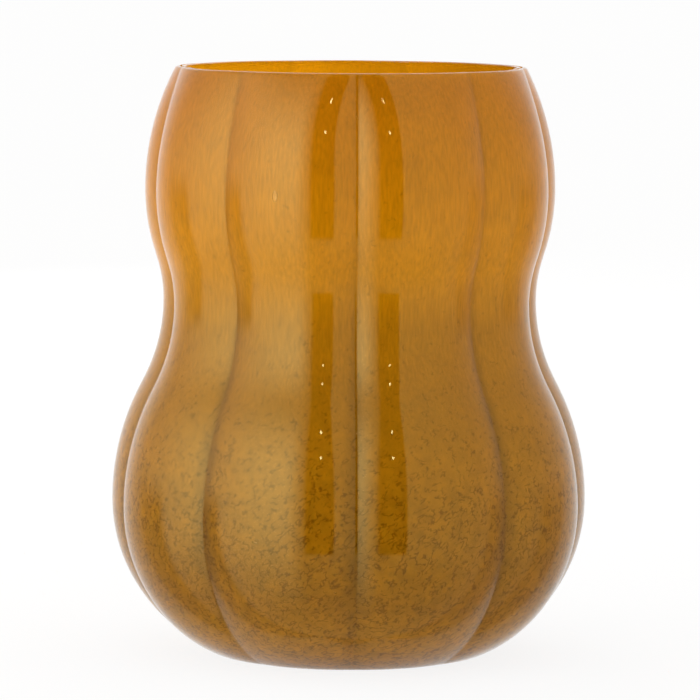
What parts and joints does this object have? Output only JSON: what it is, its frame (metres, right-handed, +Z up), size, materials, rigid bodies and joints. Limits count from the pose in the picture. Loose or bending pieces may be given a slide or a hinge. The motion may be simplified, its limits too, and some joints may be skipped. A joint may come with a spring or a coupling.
{
  "type": "vase",
  "caption": "Lobed, gourd-shaped vase of cased amber glass with a layer of brown specks in the wall, a wide flat-cut rim and a foot with a shallow push-up, for holding flowers.",
  "frame": {"origin": "centre of the standing ring, on the table, on the axis of the vase", "axes": "+Z up along the axis of the vase, towards the mouth; -Y towards the groove that faces the camera in the picture"},
  "size_m": [0.2036, 0.2022, 0.25],
  "materials": {
    "clear_glass": "fire-polished, cut and polished at the rim",
    "brown_frit": "crushed grains melted into the wall",
    "amber_glass": "fire-polished, cut and polished at the rim"
  },
  "bodies": {
    "root": {"clear_casing": "clear_glass", "frit_layer": "brown_frit", "amber_lining": "amber_glass"}
  },
  "joints": []
}
